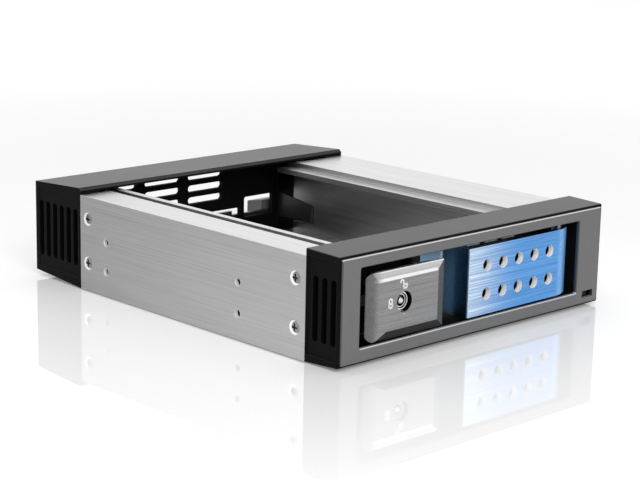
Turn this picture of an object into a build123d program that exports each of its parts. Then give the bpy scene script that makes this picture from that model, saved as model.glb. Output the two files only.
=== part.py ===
from build123d import *
import math
import os

os.makedirs("parts", exist_ok=True)

# Frame: X to the right seen from the front, Y to the back, Z up.
# The origin is the bottom centre. Setbacks are measured back from the bezel's face.

# Outside of the cage
body_width = 146.0
body_height = 41.34
body_depth = 180.2
half_width = body_width / 2
front_y = -body_depth / 2

# Gaps used all over, and how far a cut runs past a face
fit_gap = 0.02
slide_gap = 0.1
running_gap = 0.06
over = 1.0

# Standard side holes of a 5.25 inch bay
hole_setback = 53.0
hole_pitch_y = 79.25
hole_low_z = 10.0
hole_pitch_z = 11.9
bay_hole_r = 1.5

# Drive that the cage takes: 3.5 inch, 101.6 wide and 26.1 high
drive_width = 101.6
drive_side_play = 0.25
drive_centre_x = -2.85
bay_left_x = drive_centre_x - drive_width / 2 - drive_side_play
bay_right_x = drive_centre_x + drive_width / 2 + drive_side_play
shelf_top_z = 7.3
shelf_thick = 1.6
shelf_low_z = shelf_top_z - shelf_thick
shelf_reach = 8.0

# Front frame, drafted towards its face, and the plate let into it
frame_depth = 17.0
frame_taper_x = 0.25
frame_taper_low = 0.95
frame_taper_high = 0.48
frame_front_width = body_width - 2 * frame_taper_x
frame_front_high_z = body_height - frame_taper_high
frame_edge_r = 0.5
rim_setback = 0.6
plate_thick = 1.4
plate_rim_x = 0.99
plate_rim_low = 0.63
plate_rim_high = 1.03
plate_width = frame_front_width - 2 * plate_rim_x
plate_low_z = frame_taper_low + plate_rim_low
plate_high_z = frame_front_high_z - plate_rim_high
plate_gap = 0.15
plate_corner_r = 0.7
plate_bevel = 0.35

# Way in for the drive, its edges measured from the cage's sides and from the plate
opening_inset_left = 10.4
opening_inset_right = 14.7
opening_inset_low = 4.92
opening_inset_high = 4.13
opening_left_x = opening_inset_left - half_width
opening_right_x = half_width - opening_inset_right
opening_low_z = plate_low_z + opening_inset_low
opening_high_z = plate_high_z - opening_inset_high
tunnel_margin = 0.3

# Light window in the plate, the pipe behind it and the lamp's room
window_inset = 4.3
window_width = 6.6
window_height = 2.8
window_rise = 2.32
window_right_x = half_width - window_inset
window_left_x = window_right_x - window_width
window_low_z = plate_low_z + window_rise
window_high_z = window_low_z + window_height
pipe_gap = 0.05
pipe_setback = 2.6
pipe_back = 9.6
lamp_thick = 1.5
lamp_width = 3.2
lamp_dome_r = 0.9
lamp_dome = 0.3
lamp_board_thick = 1.2
lamp_board_rise = 3.0
lamp_board_drop = 0.9
lamp_setback = pipe_back + lamp_dome
lamp_board_setback = lamp_setback + lamp_thick
lamp_room_margin = 0.8
lamp_room_back = lamp_board_setback + lamp_board_thick + lamp_room_margin

# Rear housing
housing_depth = 31.1
housing_taper_x = 0.1
housing_end_low_z = 2.2
housing_taper_high = 1.78
housing_end_high_z = body_height - housing_taper_high
housing_edge = 1.2
cable_room_depth = 13.7
rear_wall_thick = 1.8
rear_wall_back = body_depth - cable_room_depth
rear_wall_setback = rear_wall_back - rear_wall_thick
housing_side_wall = 4.0
housing_roof = 2.0
housing_floor_top_z = 4.3
cable_floor_step = 0.6
web_thick = 2.0

# Side rails between the two mouldings
rail_drop = 2.69
rail_height = body_height - rail_drop
rail_wall = 1.6
rail_setback = frame_depth
rail_end_setback = body_depth - housing_depth
rail_tongue = 4.6
tongue_floor_gap = 0.5
left_flange_x = bay_left_x - 4.7
groove_right_x = bay_left_x - 1.1
groove_depth = 2.45
left_lip_x = bay_left_x + 1.6
left_lip_thick = 1.4
right_plate_x = bay_right_x - 3.9
right_lip_x = right_plate_x - 6.3
ledge_drop = 2.15
ledge_thick = 2.2
ledge_top_z = rail_height - ledge_drop
ledge_low_z = ledge_top_z - ledge_thick

# Tabs of the mouldings that fill the ends of the hollow rails
tab_reach = 11.0
tab_root = 7.0
tab_thick = 8.0
tab_low_z = rail_wall + 0.4
tab_high_z = rail_height - groove_depth - rail_wall - slide_gap
tab_outer_x = half_width - rail_wall - slide_gap
tab_inner_x = tab_outer_x - tab_thick

# Louvre slots and inset panels in the sides of both mouldings
slot_width = 3.1
slot_depth = 3.4
front_slot_first = 3.6
front_slot_pitch = 4.5
front_slot_count = 3
front_slot_low_z = 8.2
front_slot_high_z = 32.2
rear_slot_first = rail_end_setback + 4.1
rear_slot_pitch = 4.68
rear_slot_count = 6
rear_slot_low_z = 8.7
rear_slot_high_z = 32.2
rear_slot_depth = housing_side_wall + 0.4
panel_inset = 0.4
panel_edge_front = 1.7
panel_edge_back = 0.4
panel_edge_z = 2.1

# Vents in the rear wall
vent_length = 19.4
vent_width = 3.0
vent_pitch_x = 23.75
vent_pitch_z = 5.25
vent_columns = 3
vent_rows = 3
vent_right_x = drive_centre_x + 8.25
vent_top_z = body_height - 6.29

# Corner screws between rails and mouldings
screw_front_setback = rail_setback + 5.4
screw_rear_setback = rail_end_setback - 4.9
screw_low_z = 11.4
screw_high_z = rail_height - 9.15
screw_head_r = 2.65
screw_head_high = 1.4
screw_shank_r = 1.3
screw_length = 8.0
cross_length = 1.13
cross_width = 0.27

# Latch lever: a flat face with thin rims that rolls back into a nose beside its pivot
door_low_z = opening_low_z + 1.2
door_high_z = opening_high_z - 1.7
handle_inset = 56.2
handle_left_x = opening_left_x + handle_inset
finger_gap = 12.6
lever_right_x = handle_left_x - finger_gap
lever_low_z = door_low_z - 0.4
lever_high_z = door_high_z - 1.55
lever_nose_inset = 10.2
lever_nose_x = opening_left_x + lever_nose_inset
lever_nose_r = 6.5
lever_nose_angle = 55.0
lever_left_x = lever_nose_x - lever_nose_r * math.sin(math.radians(lever_nose_angle))
lever_skin = 1.5
lever_rim = 1.6
lever_rim_thick = 2.0
lever_back_setback = 7.4
lever_bevel_z = 3.1
lever_bevel_x = 3.9
lever_bevel_deep = 1.0
lever_bevel_start_x = lever_nose_x - 3.8
lever_bevel_full_x = lever_nose_x + 2.9
lever_corner_r = 2.5
lever_end_r = 0.8
lever_pocket_setback = 3.4
pivot_x = lever_nose_x - 1.2
pivot_setback = 3.8
pivot_pin_r = 1.0

# Lugs of the lever and ears of the carrier that meet on the pivot pin
lug_thick = 1.5
lug_r = 2.1
ear_thick = 1.5
ear_r = 1.7
ear_gap = 0.3
pin_low_z = lever_low_z + lever_rim
pin_high_z = lever_high_z - lever_rim
ear_low_z = pin_low_z + lug_thick + ear_gap
ear_high_z = pin_high_z - lug_thick - ear_gap
lever_hollow_x = pivot_x + ear_r + 0.7

# Return spring around the lever's pin
spring_wire_r = 0.25
spring_coil_r = pivot_pin_r + 0.6
spring_pitch = 0.9
spring_height = 5.4

# Key lock in the lever
lock_inset = 22.1
lock_rise = 12.8
lock_x = opening_left_x + lock_inset
lock_z = lever_low_z + lock_rise
lock_bore_r = 3.8
lock_face_setback = 2.6
barrel_wall = 1.05
barrel_tail = 1.2
plug_inset = 0.3
plug_r = lock_bore_r - barrel_wall - fit_gap
key_groove_wall = 0.63
key_post_r = 1.2
key_groove_deep = 2.6
notch_width = 0.9
notch_deep = 0.6
tail_r = 1.4
nut_across = 10.2
nut_thick = 1.1

# Bolt that the lock slides into the frame
bolt_throw = 3.5
bolt_setback = lever_back_setback + 2.5
bolt_thick = 1.4
bolt_back = bolt_setback + bolt_thick
bolt_half_height = 2.0
bolt_end_x = opening_left_x + 1.7
bolt_guide_gap = 0.05
bolt_end_gap = 0.3
guide_left_x = lever_hollow_x + 0.2
guide_right_x = guide_left_x + 2.5
guide_wall = 1.6
guide_back = bolt_back + 0.7
cam_radius = bolt_throw / 2 / math.sin(math.radians(45))
cam_offset = bolt_throw / 2
cam_pin_r = 0.8
cam_slot_gap = 0.12
bolt_pocket_reach = 4.6
bolt_pocket_front = bolt_setback - 2.2
bolt_pocket_back = bolt_back + 3.0
bolt_pocket_half = bolt_half_height + 1.2

# Door handle, an extrusion cut off at the height of the door
handle_thick = 2.4
handle_wall = 2.0
handle_edge_r = 0.9
handle_curl_r = 16.0
handle_curl_angle = 53.0
handle_end_gap = 0.92
handle_flat_end_x = opening_right_x - handle_end_gap - handle_curl_r * math.sin(math.radians(handle_curl_angle))
recess_setback = guide_back + 1.2
recess_floor_thick = 1.8
recess_corner_r = 2.0
recess_left_x = lever_right_x + 0.3
door_back = recess_setback + recess_floor_thick
lap_left_x = recess_left_x - 12.4
lap_thick = 0.9
hinge_x = opening_right_x - 7.3
hinge_setback = 5.0
hinge_pin_r = 1.25
hinge_barrel_r = 2.6
hinge_pin_low_z = opening_low_z - 3.1
hinge_pin_high_z = opening_high_z + 2.5
air_hole_r = 2.4
air_hole_count = 5
air_hole_first_x = handle_left_x + 10.4
air_hole_pitch_x = (handle_flat_end_x - 4.32 - air_hole_first_x) / (air_hole_count - 1)
air_hole_low_z = door_low_z + 7.8
air_hole_pitch_z = 11.0

# Black backing behind the handle's air holes, with slots at its top
backing_setback = 10.0
backing_thick = 1.6
backing_right_x = handle_flat_end_x - 0.6
backing_post_r = 2.0
backing_slot_first_x = handle_left_x + 9.7
backing_slot_width = 7.3
backing_slot_pitch = 10.05
backing_slot_count = 3
backing_slot_high_z = door_high_z - 1.2
backing_slot_height = 1.0

# Black carrier behind the lever and its screws
carrier_low_z = door_low_z - 0.9
carrier_high_z = door_high_z
carrier_left_x = opening_left_x + 1.6
door_screw_x = recess_left_x - 6.4
door_screw_inset = 4.8
door_screw_r = 1.0
door_screw_head_r = 1.85
door_screw_head_high = 0.85
door_screw_length = 4.6
door_boss_r = 2.3
door_boss_high = 2.4
bumper_x = lap_left_x - 12.0
bumper_inset = 5.0
bumper_r = 3.0
bumper_thick = 0.8

# Backplane behind the rear wall
board_setback = rear_wall_back + 1.6
board_thick = 1.6
board_back = board_setback + board_thick
board_left_x = bay_left_x + 3.9
board_right_x = half_width - housing_side_wall - 2.6
board_low_z = housing_floor_top_z + cable_floor_step + 0.1
board_high_z = 15.8
board_step_x = 24.0
board_step_z = 14.0
board_hole_r = 1.6
board_screw_r = 1.0
board_screw_head_r = 2.2
board_screw_head_high = 1.2
board_post_r = 2.3

# Plugs on the backplane and their windows
connector_x = -3.0
connector_length = 41.2
connector_low_z = 8.4
connector_high_z = 14.0
connector_reach = 5.0
connector_slot_deep = 6.0
connector_slot_low_z = connector_low_z + 2.0
connector_slot_high_z = connector_slot_low_z + 1.2
connector_key_z = connector_slot_low_z + 2.6
connector_key = 1.2
connector_data_inset = 6.6
connector_data_length = 10.8
connector_power_inset = 17.4
connector_power_length = 21.6
connector_data_x = connector_x + connector_data_inset
connector_power_x = connector_x - connector_power_inset
window_corner_r = 1.0
connector_window_left = 21.4
connector_window_right = 28.7
connector_window_left_x = connector_x - connector_window_left
connector_window_right_x = connector_x + connector_window_right
connector_window_low_z = connector_low_z - 1.0
connector_window_high_z = connector_high_z + 4.0
power_window_left_x = 28.2
power_window_right_x = 45.0
power_window_low_z = 13.0
power_window_high_z = 22.25
power_pin_pitch = 5.08
power_pin_count = 4
power_pin_r = 1.05
power_plug_wall = 1.34
power_plug_length = power_pin_count * power_pin_pitch + 2 * power_plug_wall
power_plug_right_x = board_right_x - 0.3
power_plug_left_x = power_plug_right_x - power_plug_length
power_plug_low_z = 7.2
power_plug_high_z = 18.2
power_plug_slope = 1.8
power_plug_deep = 9.6
data_plug_x = 6.3
data_plug_length = 16.6
data_plug_low_z = 8.0
data_plug_high_z = 14.2
data_plug_deep = 8.0
data_plug_wall = 1.6
plug_floor = 1.5
board_screw_spots = (
    (board_left_x + 4.0, 11.5),
    (connector_window_left_x - 3.1, 12.5),
    (power_plug_left_x - 7.1, 8.8))

# Springy arm in the right side wall that steadies the drive
arm_front_setback = rail_end_setback - 8.3
arm_low_z = 11.6
arm_high_z = 19.1
arm_root_low_z = 11.0
arm_root_high_z = 22.5
arm_inset = 0.5
arm_thick = 2.0
arm_foot = 6.0
arm_post_r = 2.2
arm_post_reach = 0.1
arm_gap = 0.4


def at(setback):
    return front_y + setback


def block(x0, x1, s0, s1, z0, z1):
    # a straight piece between two corners, its depth given as setbacks
    centre = Pos((x0 + x1) / 2, (at(s0) + at(s1)) / 2, (z0 + z1) / 2)
    return centre * Box(x1 - x0, s1 - s0, z1 - z0)


def side_block(side, x0, x1, s0, s1, z0, z1):
    # the same on either side, its X measured outwards
    low_x, high_x = sorted((side * x0, side * x1))
    return block(low_x, high_x, s0, s1, z0, z1)


def along_y(points, s0, s1):
    # a closed outline in X and Z drawn out along Y
    plane = Plane.XZ.offset(-at(s0))
    outline = make_face(Polyline(*points, close=True))
    return extrude(plane * outline, amount=-(s1 - s0))


def along_x(points, x0, x1):
    # a closed outline of setbacks and heights drawn out along X
    outline = make_face(Polyline(*[(at(s), z) for s, z in points], close=True))
    return extrude(Plane.YZ.offset(x0) * outline, amount=x1 - x0)


def rod_y(radius, x, z, s0, s1):
    # a round piece along Y
    middle = Pos(x, (at(s0) + at(s1)) / 2, z)
    return middle * Rot(90, 0, 0) * Cylinder(radius, s1 - s0)


def rod_z(radius, x, setback, z0, z1):
    # a round piece along Z
    return Pos(x, at(setback), (z0 + z1) / 2) * Cylinder(radius, z1 - z0)


def frustum(width_a, low_a, high_a, s_a, width_b, low_b, high_b, s_b):
    # a moulding with drafted sides between two upright rectangles
    plane_a = Plane.XZ.offset(-at(s_a))
    plane_b = Plane.XZ.offset(-at(s_b))
    face_a = plane_a * Pos(0, (low_a + high_a) / 2) * Rectangle(width_a, high_a - low_a)
    face_b = plane_b * Pos(0, (low_b + high_b) / 2) * Rectangle(width_b, high_b - low_b)
    return loft([face_a, face_b])


def side_slot(side, setback, low_z, high_z, depth):
    # an upright slot with round ends cut into one side
    middle = Plane.YZ.offset(side * (half_width - depth))
    shape = Pos(at(setback), (low_z + high_z) / 2) * SlotOverall(high_z - low_z, slot_width, rotation=90)
    return extrude(middle * shape, amount=side * (depth + over))


def wall_window(x0, x1, z0, z1):
    # a window with rounded corners through the rear wall
    plane = Plane.XZ.offset(-at(rear_wall_setback - over))
    shape = Pos((x0 + x1) / 2, (z0 + z1) / 2) * RectangleRounded(x1 - x0, z1 - z0, window_corner_r)
    return extrude(plane * shape, amount=-(rear_wall_thick + 2 * over))


def corner_screw_spots():
    # side, setback and height of the eight corner screws
    spots = []
    for side in (-1, 1):
        for setback in (screw_front_setback, screw_rear_setback):
            for height in (screw_low_z, screw_high_z):
                spots.append((side, setback, height))
    return spots


def screw_turned(head_r, head_high, shank_r, length, extra):
    # a countersunk screw on the Z axis, its flat head at the origin and its tip below
    profile = Polyline(
        (0, 0), (head_r + extra, 0), (shank_r + extra, -head_high),
        (shank_r + extra, -length), (0, -length), close=True)
    return revolve(Plane.XZ * make_face(profile), Axis.Z)


def cross_recess(head_r):
    # cross slot in a screw head that lies at the origin
    long = head_r * cross_length
    short = head_r * cross_width
    return Box(long, short, short * 2) + Box(short, long, short * 2)


def corner_screw(side, setback, height, extra):
    turned = screw_turned(screw_head_r, screw_head_high, screw_shank_r, screw_length, extra)
    return Pos(side * half_width, at(setback), height) * Rot(0, side * 90, 0) * turned


def screw_seats():
    return [corner_screw(*spot, fit_gap) for spot in corner_screw_spots()]


def door_screw_spots():
    return ((door_screw_x, door_low_z + door_screw_inset), (door_screw_x, door_high_z - door_screw_inset))


def door_screw(x, z, extra):
    turned = screw_turned(door_screw_head_r, door_screw_head_high, door_screw_r, door_screw_length, extra)
    return Pos(x, at(door_back), z) * Rot(-90, 0, 0) * turned


def bay_holes(side):
    # the four standard holes on one side
    holes = []
    for setback in (hole_setback, hole_setback + hole_pitch_y):
        for height in (hole_low_z, hole_low_z + hole_pitch_z):
            spot = Pos(side * (half_width - rail_wall / 2), at(setback), height)
            holes.append(spot * Rot(0, 90, 0) * Cylinder(bay_hole_r, rail_wall * 2))
    return holes


def left_rail():
    end = rail_end_setback + rail_tongue
    shelf_right_x = bay_left_x + shelf_reach
    outline = [
        (-half_width, 0), (bay_left_x, 0), (bay_left_x, shelf_low_z),
        (shelf_right_x, shelf_low_z), (shelf_right_x, shelf_top_z),
        (bay_left_x, shelf_top_z), (bay_left_x, rail_height - left_lip_thick),
        (left_lip_x, rail_height - left_lip_thick), (left_lip_x, rail_height),
        (groove_right_x, rail_height), (groove_right_x, rail_height - groove_depth),
        (left_flange_x, rail_height - groove_depth), (left_flange_x, rail_height),
        (-half_width, rail_height)]
    inner_x = bay_left_x - rail_wall
    web_x = left_flange_x - rail_wall
    under_groove = rail_height - groove_depth - rail_wall
    hollow = [
        (-half_width + rail_wall, rail_wall), (inner_x, rail_wall), (inner_x, under_groove),
        (web_x, under_groove), (web_x, rail_height - rail_wall),
        (-half_width + rail_wall, rail_height - rail_wall)]
    rail = along_y(outline, rail_setback, end) - along_y(hollow, rail_setback - over, end + over)
    # only the inner wall and lip run on into the rear housing
    rail -= block(
        -half_width - over, web_x - slide_gap, rail_end_setback, end + over, -over, rail_height + over)
    rail -= block(
        web_x - over, shelf_right_x + over, rail_end_setback, end + over,
        -over, housing_floor_top_z + tongue_floor_gap)
    rail -= bay_holes(-1)
    rail -= screw_seats()
    return rail


def right_rail():
    end = rail_end_setback + rail_tongue
    shelf_left_x = bay_right_x - shelf_reach
    outline = [
        (half_width, 0), (half_width, rail_height), (right_plate_x, rail_height),
        (right_plate_x, ledge_top_z), (right_lip_x, ledge_top_z), (right_lip_x, ledge_low_z),
        (bay_right_x, ledge_low_z), (bay_right_x, shelf_top_z),
        (shelf_left_x, shelf_top_z), (shelf_left_x, shelf_low_z),
        (bay_right_x, shelf_low_z), (bay_right_x, 0)]
    inner_x = bay_right_x + rail_wall
    hollow = [
        (half_width - rail_wall, rail_wall), (half_width - rail_wall, rail_height - rail_wall),
        (right_plate_x + rail_wall, rail_height - rail_wall),
        (right_plate_x + rail_wall, ledge_low_z + rail_wall),
        (inner_x, ledge_low_z + rail_wall), (inner_x, rail_wall)]
    rail = along_y(outline, rail_setback, end) - along_y(hollow, rail_setback - over, end + over)
    rail -= block(
        inner_x + slide_gap, half_width + over, rail_end_setback, end + over, -over, rail_height + over)
    rail -= block(
        shelf_left_x - over, inner_x + over, rail_end_setback, end + over,
        -over, housing_floor_top_z + tongue_floor_gap)
    rail -= along_x(arm_outline(arm_gap), bay_right_x - over, inner_x + over)
    rail -= bay_holes(1)
    rail -= screw_seats()
    return rail


def tabs(s0, s1):
    # tongues of a moulding that fill the ends of the hollow rails
    return [side_block(side, tab_inner_x, tab_outer_x, s0, s1, tab_low_z, tab_high_z) for side in (-1, 1)]


def pilot_holes():
    holes = []
    for side, setback, height in corner_screw_spots():
        spot = Pos(side * (half_width - screw_length / 2 - over), at(setback), height)
        holes.append(spot * Rot(0, 90, 0) * Cylinder(screw_shank_r + fit_gap, screw_length + 2 * over))
    return holes


def front_frame():
    frame = frustum(
        body_width, 0, body_height, frame_depth,
        frame_front_width, frame_taper_low, frame_front_high_z, rim_setback)
    soft_edges = frame.edges() - frame.faces().sort_by(Axis.Y)[-1].edges()
    frame = fillet(soft_edges, frame_edge_r)
    frame += tabs(frame_depth - tab_root, frame_depth + tab_reach)
    # seat of the plate
    seat_z = (plate_low_z + plate_high_z) / 2
    seat_height = plate_high_z - plate_low_z + 2 * plate_gap
    seat = Plane.XZ.offset(-at(plate_thick)) * Pos(0, seat_z) * Rectangle(plate_width + 2 * plate_gap, seat_height)
    frame -= extrude(seat, amount=plate_thick)
    # the way in for the drive
    frame -= block(
        opening_left_x - tunnel_margin, opening_right_x + tunnel_margin, -over, frame_depth + over,
        opening_low_z - tunnel_margin, opening_high_z + tunnel_margin)
    # inset side panels and their slots
    for side in (-1, 1):
        for i in range(front_slot_count):
            setback = front_slot_first + i * front_slot_pitch
            frame -= side_slot(side, setback, front_slot_low_z, front_slot_high_z, slot_depth)
        frame -= side_block(
            side, half_width - frame_taper_x - panel_inset, half_width + over,
            panel_edge_front, frame_depth - panel_edge_back,
            frame_taper_low + panel_edge_z, frame_front_high_z - panel_edge_z)
    # pocket that the lock bolt enters
    frame -= block(
        opening_left_x - bolt_pocket_reach, opening_left_x, bolt_pocket_front, bolt_pocket_back,
        lock_z - bolt_pocket_half, lock_z + bolt_pocket_half)
    # seats of the hinge pin
    frame -= rod_z(hinge_pin_r, hinge_x, hinge_setback, hinge_pin_low_z, hinge_pin_high_z)
    # channel of the light pipe and room for its lamp board
    frame -= block(window_left_x, window_right_x, 0, pipe_back, window_low_z, window_high_z)
    frame -= block(
        window_left_x - 1.2, window_right_x, pipe_back - 0.6, lamp_room_back,
        window_low_z - lamp_board_drop - 0.3, window_high_z + lamp_board_rise + 0.4)
    frame -= pilot_holes()
    return frame


def bezel_plate():
    middle_z = (plate_low_z + plate_high_z) / 2
    plane = Plane.XZ.offset(-front_y)
    plate = plane * Pos(0, middle_z) * RectangleRounded(plate_width, plate_high_z - plate_low_z, plate_corner_r)
    way_in = Pos((opening_left_x + opening_right_x) / 2, (opening_low_z + opening_high_z) / 2)
    plate -= plane * way_in * RectangleRounded(
        opening_right_x - opening_left_x, opening_high_z - opening_low_z, plate_corner_r)
    window = Pos((window_left_x + window_right_x) / 2, (window_low_z + window_high_z) / 2)
    plate -= plane * window * Rectangle(window_width, window_height)
    solid = extrude(plate, amount=-plate_thick)
    face = solid.faces().sort_by(Axis.Y)[0]
    way_in_edges = face.inner_wires().sort_by(Axis.X)[0].edges()
    return chamfer(face.outer_wire().edges() + way_in_edges, plate_bevel)


def light_pipe():
    body = block(
        window_left_x + pipe_gap, window_right_x - pipe_gap, pipe_setback, pipe_back,
        window_low_z + pipe_gap, window_high_z - pipe_gap)
    return chamfer(body.edges().filter_by(Axis.Z).sort_by(Axis.Y)[:2], 0.4)


def indicator_board():
    return block(
        window_left_x - 1.0, window_right_x - 0.4, lamp_board_setback, lamp_board_setback + lamp_board_thick,
        window_low_z - lamp_board_drop, window_high_z + lamp_board_rise)


def indicator_lamp():
    middle_x = (window_left_x + window_right_x) / 2
    middle_z = (window_low_z + window_high_z) / 2
    lamp = block(
        middle_x - lamp_width / 2, middle_x + lamp_width / 2, lamp_setback, lamp_board_setback,
        window_low_z + 0.4, window_high_z - 0.4)
    dome = rod_y(lamp_dome_r, middle_x, middle_z, pipe_back, lamp_setback + slide_gap)
    return lamp + dome


def roof_z(setback):
    # underside of the roof, which slopes down to the back
    share = (setback - rail_end_setback) / housing_depth
    return body_height - housing_roof - share * housing_taper_high


def room(x0, x1, s0, s1, low_z):
    # a hollow that reaches up to the sloping roof
    return along_x([(s0, low_z), (s1, low_z), (s1, roof_z(s1)), (s0, roof_z(s0))], x0, x1)


def rear_housing():
    shell = frustum(
        body_width, 0, body_height, rail_end_setback,
        body_width - 2 * housing_taper_x, housing_end_low_z, housing_end_high_z, body_depth)
    # sloped edge over the rails
    upper = shell.faces().sort_by(Axis.Z)[-1]
    shell = chamfer(upper.edges().sort_by(Axis.Y)[0], housing_edge)
    shell += tabs(rail_end_setback - tab_reach, rail_end_setback + tab_root)
    inside = half_width - housing_side_wall
    start = rail_end_setback - over
    # room behind the drive, and the rooms beside it behind the rails
    shell -= room(bay_left_x, bay_right_x, start, rear_wall_setback, housing_floor_top_z)
    for side, bay_x in ((-1, -bay_left_x), (1, bay_right_x)):
        web_x = bay_x + web_thick
        for outer_x, setback in ((inside, rail_end_setback + tab_root), (tab_inner_x, start)):
            low_x, high_x = sorted((side * web_x, side * outer_x))
            shell -= room(low_x, high_x, setback, rear_wall_setback, housing_floor_top_z)
    # open cable room at the back
    shell -= room(-inside, inside, rear_wall_back, body_depth + over, housing_floor_top_z + cable_floor_step)
    # seats of the rails' inner ends
    tongue_end = rail_end_setback + rail_tongue + slide_gap
    shell -= block(
        left_flange_x - rail_wall - 2 * slide_gap, left_lip_x + 2 * slide_gap, start, tongue_end,
        housing_floor_top_z, rail_height + slide_gap / 2)
    shell -= block(
        right_lip_x - 2 * slide_gap, bay_right_x + rail_wall + 2 * slide_gap, start, tongue_end,
        housing_floor_top_z, rail_height + slide_gap / 2)
    # vents in the rear wall
    wall_plane = Plane.XZ.offset(-at(rear_wall_setback - over))
    for column in range(vent_columns):
        for row in range(vent_rows):
            x = vent_right_x - column * vent_pitch_x
            z = vent_top_z - row * vent_pitch_z
            slot = wall_plane * Pos(x, z) * SlotOverall(vent_length, vent_width)
            shell -= extrude(slot, amount=-(rear_wall_thick + 2 * over))
    # windows for the plugs on the backplane
    shell -= wall_window(
        connector_window_left_x, connector_window_right_x, connector_window_low_z, connector_window_high_z)
    shell -= wall_window(power_window_left_x, power_window_right_x, power_window_low_z, power_window_high_z)
    # way for the guide arm
    shell -= along_x(arm_outline(arm_gap), bay_right_x - slide_gap, bay_right_x + web_thick + slide_gap)
    # inset side panels and their slots
    for side in (-1, 1):
        for i in range(rear_slot_count):
            setback = rear_slot_first + i * rear_slot_pitch
            shell -= side_slot(side, setback, rear_slot_low_z, rear_slot_high_z, rear_slot_depth)
        shell -= side_block(
            side, half_width - panel_inset, half_width + over,
            rail_end_setback + panel_edge_front, body_depth - panel_edge_front,
            housing_end_low_z + panel_edge_z, housing_end_high_z - panel_edge_z)
    # posts that carry the backplane
    for x, z in board_screw_spots:
        shell += rod_y(board_post_r, x, z, rear_wall_back - slide_gap, board_setback)
        shell -= rod_y(board_screw_r + fit_gap, x, z, rear_wall_setback + 0.6, board_setback + over)
    shell -= pilot_holes()
    return shell


def arm_outline(gap):
    # side view of the guide arm, grown by a gap
    return [
        (arm_front_setback - gap, arm_low_z - gap), (rear_wall_setback, arm_root_low_z - gap),
        (rear_wall_setback, arm_root_high_z + gap), (arm_front_setback - gap, arm_high_z + gap)]


def guide_arm():
    # arm on a foot at the rear wall, with a round post at its tip
    face_x = bay_right_x + arm_inset
    arm = along_x(arm_outline(0), face_x, face_x + arm_thick)
    foot = block(
        face_x, face_x + arm_foot, rear_wall_setback - arm_thick, rear_wall_setback,
        arm_root_low_z, arm_root_high_z)
    post_x = bay_right_x + arm_post_r - arm_post_reach
    post = rod_z(arm_post_r, post_x, arm_front_setback + arm_post_r, arm_low_z, arm_high_z)
    return arm + foot + post


def corner_screws():
    screws = []
    for side, setback, height in corner_screw_spots():
        head = Pos(side * half_width, at(setback), height) * Rot(0, side * 90, 0)
        screws.append(corner_screw(side, setback, height, 0) - head * cross_recess(screw_head_r))
    return Compound(screws)


def door_handle():
    # plan outline: lap, recess floor, finger wall, front plate and rolled end
    centre = Vector(handle_flat_end_x, handle_curl_r)
    a = math.radians(handle_curl_angle)
    inner_r = handle_curl_r - handle_thick

    def on_curl(radius, angle):
        return (centre.X + radius * math.sin(angle), centre.Y - radius * math.cos(angle))

    lap_front = door_back - lap_thick
    wall_right = handle_left_x + handle_wall
    lines = [
        Line((lap_left_x, lap_front), (recess_left_x, lap_front)),
        Line((recess_left_x, lap_front), (recess_left_x, recess_setback)),
        Line((recess_left_x, recess_setback), (handle_left_x, recess_setback)),
        Line((handle_left_x, recess_setback), (handle_left_x, 0)),
        Line((handle_left_x, 0), (handle_flat_end_x, 0)),
        ThreePointArc((handle_flat_end_x, 0), on_curl(handle_curl_r, a / 2), on_curl(handle_curl_r, a)),
        Line(on_curl(handle_curl_r, a), on_curl(inner_r, a)),
        ThreePointArc(on_curl(inner_r, a), on_curl(inner_r, a / 2), (handle_flat_end_x, handle_thick)),
        Line((handle_flat_end_x, handle_thick), (wall_right, handle_thick)),
        Line((wall_right, handle_thick), (wall_right, door_back)),
        Line((wall_right, door_back), (lap_left_x, door_back)),
        Line((lap_left_x, door_back), (lap_left_x, lap_front))]
    outline = make_face(lines)
    edge = outline.vertices().sort_by_distance((handle_left_x, 0, 0))[0]
    outline = fillet(edge, handle_edge_r)
    inside = outline.vertices().sort_by_distance((handle_left_x, recess_setback, 0))[0]
    outline = fillet(inside, recess_corner_r)
    outline += Pos(hinge_x, hinge_setback) * Circle(hinge_barrel_r)
    plan = Plane.XY.offset(door_low_z) * Pos(0, front_y) * outline
    handle = extrude(plan, amount=door_high_z - door_low_z)
    handle -= rod_z(hinge_pin_r + running_gap, hinge_x, hinge_setback, hinge_pin_low_z, hinge_pin_high_z)
    # two rows of air holes
    for i in range(air_hole_count):
        for z in (air_hole_low_z, air_hole_low_z + air_hole_pitch_z):
            x = air_hole_first_x + i * air_hole_pitch_x
            handle -= rod_y(air_hole_r, x, z, -over, handle_thick + over)
    for x, z in door_screw_spots():
        handle -= door_screw(x, z, fit_gap)
    return handle


def door_screws():
    screws = []
    for x, z in door_screw_spots():
        head = Pos(x, at(door_back), z) * Rot(-90, 0, 0)
        screws.append(door_screw(x, z, 0) - head * cross_recess(door_screw_head_r))
    return Compound(screws)


def door_hinge_pin():
    return rod_z(hinge_pin_r, hinge_x, hinge_setback, hinge_pin_low_z, hinge_pin_high_z)


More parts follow.
